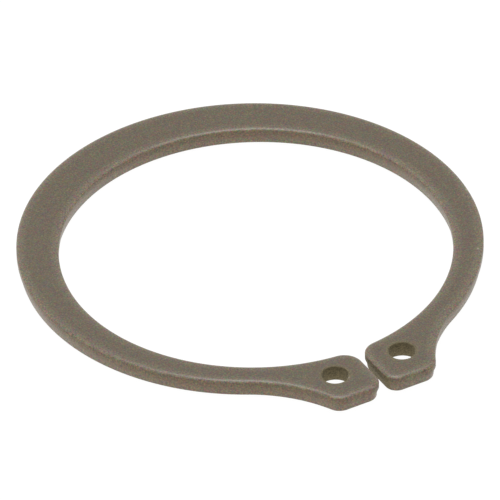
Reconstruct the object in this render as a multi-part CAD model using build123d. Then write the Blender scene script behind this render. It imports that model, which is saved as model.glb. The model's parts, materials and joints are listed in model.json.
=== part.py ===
from build123d import *
from math import atan, degrees, radians, tan
import os

# A retaining ring for a 40 mm shaft, stamped in one piece from a strip of spring steel.
# The shaft's axis is Z, the origin is the middle of the ring's bore, and the gap faces -Y.
# The die rounds the upper edges and cuts the upper part of each wall straight. Below that the
# steel breaks away at a slant, so the ring is a little narrower at its lower face.

# The ring's band: its rim is a circle set off from the bore, so the band thins towards the gap
THICKNESS = 1.75
BORE_RADIUS = 18.25
RIM_RADIUS = 21.63
RIM_OFFSET = 1.12
GAP_WIDTH = 0.8

# The two lugs: a flat end, straight flanks and a long hollow blend into the rim
LUG_REACH = 24.24
LUG_END_HALF_WIDTH = 5.16
FLANK_ANGLE = 27.5
FLANK_BLEND_RADIUS = 13.8
LUG_CORNER_RADIUS = 1.62
GAP_CORNER_RADIUS = 1.3
HEEL_RADIUS = 2.25

# The holes that take the tips of the pliers, sharper at the mouth than the outline is
HOLE_RADIUS = 1.25
HOLE_SPREAD = 3.55
HOLE_REACH = 20.75
HOLE_ROUNDING = 0.1

# The stamped edge: the break is the same on the walls and in the holes. The burr is taken off the
# lower outline.
UPPER_ROUNDING = 0.28
BREAK_HEIGHT = 0.85
BREAK_INSET = 0.26
BURR_CHAMFER = 0.25

LOWER_FACE = -THICKNESS / 2
BREAK_TOP = LOWER_FACE + BREAK_HEIGHT
CLOSE = 0.001


def lugs_blank():
    """Both lugs as one trapezoid, whose flanks run back inside the rim."""
    root_half_width = LUG_END_HALF_WIDTH + LUG_REACH * tan(radians(FLANK_ANGLE))
    corners = [
        (-LUG_END_HALF_WIDTH, -LUG_REACH),
        (LUG_END_HALF_WIDTH, -LUG_REACH),
        (root_half_width, 0),
        (-root_half_width, 0),
    ]
    return make_face(Polyline(*corners, close=True))


def is_flank_root(vertex):
    """True where a straight flank meets the rim's circle."""
    on_rim = abs(Vector(vertex.X, vertex.Y - RIM_OFFSET).length - RIM_RADIUS) < CLOSE
    return on_rim and vertex.Y < -BORE_RADIUS / 2


def rim_and_lugs():
    """The outer edge: the eccentric rim with the lugs blended into it."""
    blank = Pos(0, RIM_OFFSET) * Circle(RIM_RADIUS) + lugs_blank()
    blank = fillet(blank.vertices().sort_by(Axis.Y)[:2], LUG_CORNER_RADIUS)
    return fillet(blank.vertices().filter_by(is_flank_root), FLANK_BLEND_RADIUS)


def is_gap_corner(vertex):
    """True where a face of the gap meets the bore or the end of its lug."""
    return abs(abs(vertex.X) - GAP_WIDTH / 2) < CLOSE


def ring_outline():
    """The whole outline seen from above, at the size of the straight wall."""
    outline = rim_and_lugs() - Circle(BORE_RADIUS)
    outline -= Pos(0, -LUG_REACH) * Rectangle(GAP_WIDTH, LUG_REACH)
    outline = fillet(outline.vertices().filter_by(is_gap_corner).sort_by(Axis.Y)[:2], GAP_CORNER_RADIUS)
    return fillet(outline.vertices().filter_by(is_gap_corner).sort_by(Axis.Y)[-2:], HEEL_RADIUS)


def plier_hole():
    """The tool that pierces a lug: straight above, wider below, where the steel breaks away."""
    straight = Cylinder(HOLE_RADIUS, THICKNESS)
    broken = Cone(HOLE_RADIUS + BREAK_INSET, HOLE_RADIUS, BREAK_HEIGHT)
    return straight + Pos(0, 0, LOWER_FACE + BREAK_HEIGHT / 2) * broken


def blanked_ring():
    """The ring as it leaves the die: straight wall above, slanted break below, then its edges."""
    outline = Pos(0, 0, BREAK_TOP) * ring_outline()
    ring = extrude(outline, amount=THICKNESS - BREAK_HEIGHT)
    ring += extrude(outline, amount=-BREAK_HEIGHT, taper=degrees(atan(BREAK_INSET / BREAK_HEIGHT)))
    ring = chamfer(ring.faces().sort_by(Axis.Z)[0].edges(), BURR_CHAMFER)
    return fillet(ring.faces().sort_by(Axis.Z)[-1].edges(), UPPER_ROUNDING)


def retaining_ring():
    """The finished ring, with the plier holes pierced and their mouths slightly rounded."""
    ring = blanked_ring()
    for side in (-1, 1):
        ring -= Pos(side * HOLE_SPREAD, -HOLE_REACH) * plier_hole()
    mouths = ring.faces().sort_by(Axis.Z)[-1].inner_wires()
    return fillet([edge for mouth in mouths for edge in mouth.edges()], HOLE_ROUNDING)


os.makedirs("parts", exist_ok=True)
export_step(retaining_ring(), "parts/retaining_ring.step")
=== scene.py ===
import json
from math import atan2, ceil, cos, exp, pi, radians, sin, sqrt, tan

import bmesh
import bpy
from mathutils import Matrix, Vector


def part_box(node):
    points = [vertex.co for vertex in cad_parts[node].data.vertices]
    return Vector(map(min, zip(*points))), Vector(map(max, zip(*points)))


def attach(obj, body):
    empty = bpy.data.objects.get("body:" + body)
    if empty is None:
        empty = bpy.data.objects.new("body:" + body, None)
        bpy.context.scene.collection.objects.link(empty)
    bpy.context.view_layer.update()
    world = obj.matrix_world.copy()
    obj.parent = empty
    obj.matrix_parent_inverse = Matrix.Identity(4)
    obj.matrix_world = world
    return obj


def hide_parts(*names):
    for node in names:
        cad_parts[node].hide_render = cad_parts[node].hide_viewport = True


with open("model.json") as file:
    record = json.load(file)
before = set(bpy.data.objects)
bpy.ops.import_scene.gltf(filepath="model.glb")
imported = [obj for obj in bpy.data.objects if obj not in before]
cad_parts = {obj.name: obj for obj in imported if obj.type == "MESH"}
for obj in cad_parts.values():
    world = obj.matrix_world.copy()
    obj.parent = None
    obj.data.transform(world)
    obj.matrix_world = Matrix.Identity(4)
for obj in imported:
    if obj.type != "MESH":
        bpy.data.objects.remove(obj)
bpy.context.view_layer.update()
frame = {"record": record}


# The retaining ring. The real one is blanked from a strip of spring steel, hardened, tumbled until its
# upper edges are round, and phosphated a matt taupe. It lies flat on the side where the steel broke
# away under the die, so each wall is straight above and slants in below.
MM = 0.001
low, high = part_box("retaining_ring")
mounts = {mount["name"]: mount for mount in frame["record"]["mounts"]}
bore_radius = mounts["shaft_seat"]["dims"]["r_mm"] * MM
hole_radius = mounts["right_plier_hole"]["dims"]["r_mm"] * MM
hole_centres = [Vector(mounts[name]["pos_m"]).xy for name in ("left_plier_hole", "right_plier_hole")]
upper_face, lower_face = high.z, low.z

rim_radius = 21.63 * MM
rim_centre = Vector((0, 1.12 * MM, 0))
half_gap = 0.34 * MM
lug_reach = 24.24 * MM
lug_end_half_width = 5.16 * MM
flank_angle = radians(27.5)
flank_blend_radius = 13.8 * MM
lug_corner_radius = 1.62 * MM
gap_corner_radius = 1.4 * MM
heel_radius = 1.8 * MM

roll_width = 0.5 * MM
roll_depth = 0.22 * MM
break_top = lower_face + 1.05 * MM
break_drops = [0.4 * MM, 0.65 * MM]
break_insets = [0.17 * MM, 0.07 * MM]
break_inset = sum(break_insets)
lower_rounding = 0.2 * MM
hole_margin = 0.4 * MM
hole_upper_rounding = 0.1 * MM
hole_lower_rounding = 0.15 * MM

roll_steps = 10
outline_step = 0.35 * MM
corner_step = radians(6)
hole_segments = 60
weld_distance = 0.001 * MM


def line_on(mesh, vertex, point):
    """Runs a straight edge on from a vertex and returns the new vertex."""
    end = bmesh.ops.extrude_vert_indiv(mesh, verts=[vertex])["verts"][0]
    end.co = point
    return end


def arc_on(mesh, vertex, centre, point):
    """Runs an arc of less than half a turn on from a vertex and returns the new vertex."""
    start, stop = vertex.co - centre, Vector(point) - centre
    turn = atan2(start.x * stop.y - start.y * stop.x, start.x * stop.x + start.y * stop.y)
    steps = ceil(max(abs(turn) * start.length / outline_step, abs(turn) / corner_step))
    spun = bmesh.ops.spin(mesh, geom=[vertex], cent=centre, axis=(0, 0, 1), angle=turn, steps=steps)
    return [v for v in spun["geom_last"] if isinstance(v, bmesh.types.BMVert)][0]


def draw_half_outline(mesh):
    """Draws the right half of the outline, from the bore round the lug to the rim."""
    vertex = bmesh.ops.create_vert(mesh, co=(0, bore_radius, 0))["vert"][0]
    heel_centre_x = half_gap + heel_radius
    heel_centre = Vector((heel_centre_x, -sqrt((bore_radius + heel_radius) ** 2 - heel_centre_x ** 2), 0))
    vertex = arc_on(mesh, vertex, Vector(), heel_centre * bore_radius / (bore_radius + heel_radius))
    vertex = arc_on(mesh, vertex, heel_centre, (half_gap, heel_centre.y, 0))

    corner_centre = Vector((half_gap + gap_corner_radius, gap_corner_radius - lug_reach, 0))
    vertex = line_on(mesh, vertex, (half_gap, corner_centre.y, 0))
    vertex = arc_on(mesh, vertex, corner_centre, (corner_centre.x, -lug_reach, 0))

    up_the_flank = Vector((sin(flank_angle), cos(flank_angle), 0))
    off_the_flank = Vector((cos(flank_angle), -sin(flank_angle), 0))
    lug_corner = Vector((lug_end_half_width, -lug_reach, 0))
    setback = lug_corner_radius * tan((pi / 2 - flank_angle) / 2)
    corner_centre = lug_corner + Vector((-setback, lug_corner_radius, 0))
    vertex = line_on(mesh, vertex, (corner_centre.x, -lug_reach, 0))
    vertex = arc_on(mesh, vertex, corner_centre, lug_corner + up_the_flank * setback)

    reach = rim_radius + flank_blend_radius
    from_rim = lug_corner + off_the_flank * flank_blend_radius - rim_centre
    back = from_rim.dot(up_the_flank)
    run = -back - sqrt(back ** 2 - from_rim.length_squared + reach ** 2)
    blend_centre = rim_centre + from_rim + up_the_flank * run
    blend_end = rim_centre + (blend_centre - rim_centre) * rim_radius / reach
    vertex = line_on(mesh, vertex, lug_corner + up_the_flank * run)
    vertex = arc_on(mesh, vertex, blend_centre, blend_end)
    arc_on(mesh, vertex, rim_centre, rim_centre + Vector((0, rim_radius, 0)))


def verts_of(parts):
    """Lists the vertices of some faces or edges, each of them once."""
    return list({v for part in parts for v in part.verts})


def step_in(mesh, faces, inset, rise):
    """Draws a sloping band in from the outline of these faces, and lifts the faces by its rise."""
    bmesh.ops.inset_region(mesh, faces=faces, thickness=inset, use_even_offset=True, use_boundary=True)
    bmesh.ops.translate(mesh, verts=verts_of(faces), vec=(0, 0, rise))


def round_over(mesh, edges, rounding):
    """Rounds an edge over."""
    bmesh.ops.bevel(mesh, geom=edges, offset=rounding, offset_type="OFFSET", segments=4, profile=0.5,
                    affect="EDGES", material=-1)


def pierce(mesh, upper_disc, lower_disc):
    """Pierces a plier hole: straight above, wider below the break, with its edges just rounded."""
    for disc, margin in ((upper_disc, hole_margin), (lower_disc, hole_margin - break_inset)):
        bmesh.ops.inset_region(mesh, faces=[disc], thickness=margin, use_even_offset=True)
    mouth, foot = upper_disc.edges[:], lower_disc.edges[:]
    bmesh.ops.delete(mesh, geom=[upper_disc, lower_disc], context="FACES_ONLY")
    drawn = bmesh.ops.extrude_edge_only(mesh, edges=mouth)["geom"]
    waist = [g for g in drawn if isinstance(g, bmesh.types.BMEdge) and g.is_boundary]
    for vertex in verts_of(waist):
        vertex.co.z = break_top
    for vertex in verts_of(mouth + waist + foot):
        vertex[inside] = 1
    bmesh.ops.bridge_loops(mesh, edges=waist + foot)
    round_over(mesh, mouth, hole_upper_rounding)
    round_over(mesh, foot, hole_lower_rounding)


# the blank: one outline, in which each plier hole is a disc for now
mesh = bmesh.new()
draw_half_outline(mesh)
bmesh.ops.mirror(mesh, geom=mesh.verts[:] + mesh.edges[:], matrix=Matrix(), merge_dist=weld_distance,
                 axis="X")
for centre in hole_centres:
    bmesh.ops.create_circle(mesh, cap_ends=True, segments=hole_segments, radius=hole_radius + hole_margin,
                            matrix=Matrix.Translation((*centre, 0)))
upper_discs = mesh.faces[:]
bmesh.ops.translate(mesh, verts=mesh.verts, vec=(0, 0, upper_face - roll_depth))
filled = bmesh.ops.triangle_fill(mesh, use_beauty=True, normal=(0, 0, 1), edges=mesh.edges)
upper = upper_discs + [f for f in filled["geom"] if isinstance(f, bmesh.types.BMFace)]

# what the finish is like at each vertex, from 0 to 1: burnished by the die on the straight land, worn
# thin by the tumbling on the edges and made lighter there and at the wall bottoms as a painted highlight
# and glare, and sheltered from both in the gap and in the holes
land = mesh.verts.layers.float.new("land")
wear_and_highlight = mesh.verts.layers.float.new("wear_and_highlight")
inside = mesh.verts.layers.float.new("inside")
# levels of the wear mask, which also paints a highlight and glare: the edges and the wall bottoms are made
# lighter than the wear alone would make them
wall_wear_and_highlight = 0.4
break_wear_and_highlight = 0.1
break_wear_and_highlight_rise = 0.32
roll_wear_and_highlight_rise = 2
wear_and_highlight_reach = 0.4 * MM
wear_and_highlight_bands = [0.12 * MM, 0.15 * MM, 0.2 * MM]
break_land_fall = 0.5
roll_land_fall = 3
gap_wall_margin = 0.2 * MM

# blanking: the land that the die burnishes, then the slant where the steel breaks away
blanked = bmesh.ops.extrude_face_region(mesh, geom=upper, use_keep_orig=True)
lower = [f for f in blanked["geom"] if isinstance(f, bmesh.types.BMFace)]
lower_discs = [f for f in lower if len(f.verts) == hole_segments]
bmesh.ops.translate(mesh, verts=verts_of(lower), vec=(0, 0, break_top - upper_face + roll_depth))
bmesh.ops.recalc_face_normals(mesh, faces=mesh.faces)
for vertex in mesh.verts:
    vertex[land] = 1
    vertex[wear_and_highlight] = wall_wear_and_highlight
    if vertex.co.y < -bore_radius and abs(vertex.co.x) < half_gap + gap_wall_margin:
        vertex[inside] = 1
for vertex in verts_of(lower):
    vertex[wear_and_highlight] = break_wear_and_highlight
for drop, inset in zip(break_drops, break_insets):
    step_in(mesh, lower, inset, -drop)
    for vertex in verts_of(lower):
        vertex[land] -= break_land_fall
        vertex[wear_and_highlight] += break_wear_and_highlight_rise

# the lower edge, with its burr off
burr_line = list({e for f in lower for e in f.edges if not set(lower).issuperset(e.link_faces)})
step_in(mesh, lower, 2 * lower_rounding, 0)
for vertex in verts_of(lower):
    vertex[wear_and_highlight] = 0
round_over(mesh, burr_line, lower_rounding)

# the rolled upper edge, and the bands behind it over which the wear and the painted highlight fade out
for step in range(1, roll_steps + 1):
    start, stop = pi / 2 * (step - 1) / roll_steps, pi / 2 * step / roll_steps
    step_in(mesh, upper, roll_width * (cos(start) - cos(stop)), roll_depth * (sin(stop) - sin(start)))
    reached = roll_width * (1 - cos(stop))
    for vertex in verts_of(upper):
        vertex[land] = max(0, 1 - roll_land_fall * step / roll_steps)
        vertex[wear_and_highlight] = min(1, wall_wear_and_highlight + roll_wear_and_highlight_rise * step / roll_steps) * exp(-reached / wear_and_highlight_reach)
        vertex[inside] = 0
for width in wear_and_highlight_bands:
    step_in(mesh, upper, width, 0)
    reached += width
    for vertex in verts_of(upper):
        vertex[wear_and_highlight] = exp(-reached / wear_and_highlight_reach) if width != wear_and_highlight_bands[-1] else 0

lower_discs.sort(key=lambda f: f.calc_center_median().x)
for upper_disc, lower_disc in zip(upper_discs, lower_discs):
    pierce(mesh, upper_disc, lower_disc)
bmesh.ops.recalc_face_normals(mesh, faces=mesh.faces)
for face in mesh.faces:
    face.smooth = True
data = bpy.data.meshes.new("retaining_ring_finish")
mesh.to_mesh(data)
mesh.free()
ring = bpy.data.objects.new("retaining_ring_finish", data)
bpy.context.scene.collection.objects.link(ring)

taupe = (0.113, 0.084, 0.046, 1)
burnished = (0.145, 0.096, 0.047, 1)
# the pale colour of rubbed steel, which also serves as a painted highlight and glare on the edges
rubbed_and_highlight = (0.36, 0.29, 0.21, 1)
sheltered = (0.19, 0.158, 0.088, 1)
dusty = (0.72, 0.64, 0.54, 1)
warm_sheen = (1, 0.95, 0.88, 1)
roughness_outside = 0.4
roughness_inside = 1
land_strength = 0.8
wear_and_highlight_strength = 0.5
mottle_strength = 0.25
tint_strength = 0.9
grain_strength = 0.9
grain_depth = 0.01 * MM
speck_strength = 0.35
speck_fade = (0.02, 0.06)


def add_node(tree, kind, inputs=None, **settings):
    """Adds a node with its settings, and sets or links its inputs."""
    node = tree.nodes.new(kind)
    for name, value in settings.items():
        setattr(node, name, value)
    for name, value in (inputs or {}).items():
        if isinstance(value, bpy.types.NodeSocket):
            tree.links.new(value, node.inputs[name])
        else:
            node.inputs[name].default_value = value
    return node


def maths(tree, operation, first, second):
    """Works out one value from two."""
    return add_node(tree, "ShaderNodeMath", {0: first, 1: second}, operation=operation).outputs[0]


def fade(tree, value, between, levels):
    """Goes from one level to another while a value crosses a range."""
    inputs = {"Value": value, "From Min": between[0], "From Max": between[1]}
    inputs |= {"To Min": levels[0], "To Max": levels[1]}
    return add_node(tree, "ShaderNodeMapRange", inputs).outputs[0]


def mix_colour(tree, share, first, second, blend="MIX"):
    """Lays a share of the second colour over the first. A mix of colours has them at 6 and 7."""
    inputs = {0: share, 6: first, 7: second}
    return add_node(tree, "ShaderNodeMix", inputs, data_type="RGBA", blend_type=blend).outputs[2]


# the phosphate coat: a mottled taupe of fine crystals, rubbed pale on the edges and lightened further there
# as a painted highlight and glare, with specks of dust
# (a pattern's scale is how many of its grains lie along a metre)
steel = bpy.data.materials.new("phosphated spring steel")
steel.use_nodes = True
tree = steel.node_tree
shader = tree.nodes["Principled BSDF"]
shader.inputs["Sheen Weight"].default_value = 0.2
shader.inputs["Sheen Roughness"].default_value = 0.3
shader.inputs["Sheen Tint"].default_value = warm_sheen
place = add_node(tree, "ShaderNodeTexCoord").outputs["Object"]
mottle = add_node(tree, "ShaderNodeTexNoise", {"Vector": place, "Scale": 1200, "Detail": 3}).outputs
tint = add_node(tree, "ShaderNodeTexNoise", {"Vector": place, "Scale": 6000, "Detail": 1}).outputs
grain = add_node(tree, "ShaderNodeTexNoise", {"Vector": place, "Scale": 7000, "Detail": 1}).outputs
specks = add_node(tree, "ShaderNodeTexVoronoi", {"Vector": place, "Scale": 420}).outputs
speck_share = fade(tree, specks["Distance"], speck_fade, (speck_strength, 0))
land_here = add_node(tree, "ShaderNodeAttribute", attribute_name="land").outputs["Fac"]
wear_and_highlight_here = add_node(tree, "ShaderNodeAttribute", attribute_name="wear_and_highlight").outputs["Fac"]
inside_here = add_node(tree, "ShaderNodeAttribute", attribute_name="inside").outputs["Fac"]

# painted highlight and glare: the wear mask lays a share of the pale colour on the edges and wall bottoms,
# on top of the real wear
colour = mix_colour(tree, maths(tree, "MULTIPLY", wear_and_highlight_here, wear_and_highlight_strength), taupe, rubbed_and_highlight)
colour = mix_colour(tree, maths(tree, "MULTIPLY", land_here, land_strength), colour, burnished)
colour = mix_colour(tree, mottle_strength, colour, mottle["Color"], "OVERLAY")
colour = mix_colour(tree, tint_strength, colour, tint["Color"], "OVERLAY")
colour = mix_colour(tree, inside_here, colour, sheltered)
colour = mix_colour(tree, grain_strength, colour, grain["Fac"], "OVERLAY")
colour = mix_colour(tree, speck_share, colour, dusty)
tree.links.new(colour, shader.inputs["Base Color"])
roughness = fade(tree, inside_here, (0, 1), (roughness_outside, roughness_inside))
tree.links.new(roughness, shader.inputs["Roughness"])
bump = add_node(tree, "ShaderNodeBump", {"Height": grain["Fac"], "Strength": 0.3, "Distance": grain_depth})
tree.links.new(bump.outputs["Normal"], shader.inputs["Normal"])
ring.data.materials.append(steel)

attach(ring, "root")
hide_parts("retaining_ring")


# The white table that the ring lies on, lit from below as well. It looks white to the camera and in
# reflections, and keeps a trace of the ring's shadow.
table_half_width = 400 * MM
table_clearance = 0.01 * MM
table_white = (0.88, 0.88, 0.88, 1)
light_from_below = 0.75
white_share = 0.9


def rays_that_see_white(tree):
    """Tells the rays that should meet plain white: the camera's, and those of gloss and glass."""
    rays = add_node(tree, "ShaderNodeLightPath").outputs
    seen = maths(tree, "MAXIMUM", rays["Is Camera Ray"], rays["Is Glossy Ray"])
    return maths(tree, "MAXIMUM", seen, rays["Is Transmission Ray"])


table_mesh = bmesh.new()
bmesh.ops.create_grid(table_mesh, x_segments=1, y_segments=1, size=table_half_width,
                      matrix=Matrix.Translation((0, 0, lower_face - table_clearance)))
table_data = bpy.data.meshes.new("table")
table_mesh.to_mesh(table_data)
table_mesh.free()
table = bpy.data.objects.new("table", table_data)
bpy.context.scene.collection.objects.link(table)

paper = bpy.data.materials.new("white table")
paper.use_nodes = True
tree = paper.node_tree
matt = tree.nodes["Principled BSDF"]
matt.inputs["Base Color"].default_value = table_white
matt.inputs["Roughness"].default_value = 1
matt.inputs["Specular IOR Level"].default_value = 0
matt.inputs["Emission Color"].default_value = (1, 1, 1, 1)
matt.inputs["Emission Strength"].default_value = light_from_below
glow = add_node(tree, "ShaderNodeEmission")
share = maths(tree, "MULTIPLY", rays_that_see_white(tree), white_share)
mix = add_node(tree, "ShaderNodeMixShader", {0: share, 1: matt.outputs["BSDF"], 2: glow.outputs["Emission"]})
tree.links.new(mix.outputs["Shader"], tree.nodes["Material Output"].inputs["Surface"])
table.data.materials.append(paper)


# The light tent: white all round, and brighter low down than overhead. Its opening, where it gives
# little light, is to the right of the camera. A soft lamp hangs above, a little way to the far side.
camera_azimuth = radians(-29.178)
opening_azimuth = camera_azimuth + radians(30)
low_level, overhead_level = 1.1, 0.4
closed_level, opening_level = 1, 0.35
fade_upwards = (0, 0.9)
fade_into_opening = (-0.6, 0.9)
lamp_width = 200 * MM
lamp_height = 400 * MM
lamp_lean = radians(-15)
lamp_power = 0.83

world = bpy.data.worlds.new("light tent")
bpy.context.scene.world = world
world.use_nodes = True
tree = world.node_tree
tent = tree.nodes["Background"]
tent.inputs["Color"].default_value = (1, 1, 1, 1)
direction = add_node(tree, "ShaderNodeTexCoord").outputs["Generated"]
height = add_node(tree, "ShaderNodeSeparateXYZ", {0: direction}).outputs["Z"]
low_down = fade(tree, height, fade_upwards, (low_level, overhead_level))
opening = (sin(opening_azimuth), -cos(opening_azimuth), 0)
towards_it = add_node(tree, "ShaderNodeVectorMath", {0: direction, 1: opening}, operation="DOT_PRODUCT")
closed = fade(tree, towards_it.outputs["Value"], fade_into_opening, (closed_level, opening_level))
level = maths(tree, "MULTIPLY", low_down, closed)
# a mix of values has them at 2 and 3
strength = add_node(tree, "ShaderNodeMix", {0: rays_that_see_white(tree), 2: level, 3: 1.0})
tree.links.new(strength.outputs[0], tent.inputs["Strength"])

lamp_data = bpy.data.lights.new("soft lamp", "AREA")
lamp_data.shape = "DISK"
lamp_data.size = lamp_width
lamp_data.energy = lamp_power
lamp = bpy.data.objects.new("soft lamp", lamp_data)
lamp.matrix_world = (Matrix.Rotation(camera_azimuth, 4, "Z") @ Matrix.Rotation(lamp_lean, 4, "X")
                     @ Matrix.Translation((0, 0, lamp_height)))
bpy.context.scene.collection.objects.link(lamp)


# The camera, where the photograph's was: far off with a long lens, to the left of the gap, and turned
# a degree from upright.
camera_elevation = radians(36.832)
camera_roll = radians(-1.176)
camera_distance = 1852.4 * MM
aim = Vector((0.442, 1.931, -0.91)) * MM
camera_data = bpy.data.cameras.new("camera")
camera_data.sensor_width = 36
camera_data.lens = 1440
camera_data.clip_end = 10
camera = bpy.data.objects.new("camera", camera_data)
camera.matrix_world = (Matrix.Translation(aim) @ Matrix.Rotation(camera_azimuth, 4, "Z")
                       @ Matrix.Rotation(pi / 2 - camera_elevation, 4, "X")
                       @ Matrix.Rotation(camera_roll, 4, "Z") @ Matrix.Translation((0, 0, camera_distance)))
bpy.context.scene.collection.objects.link(camera)
bpy.context.scene.camera = camera
bpy.context.scene.view_settings.view_transform = "Standard"
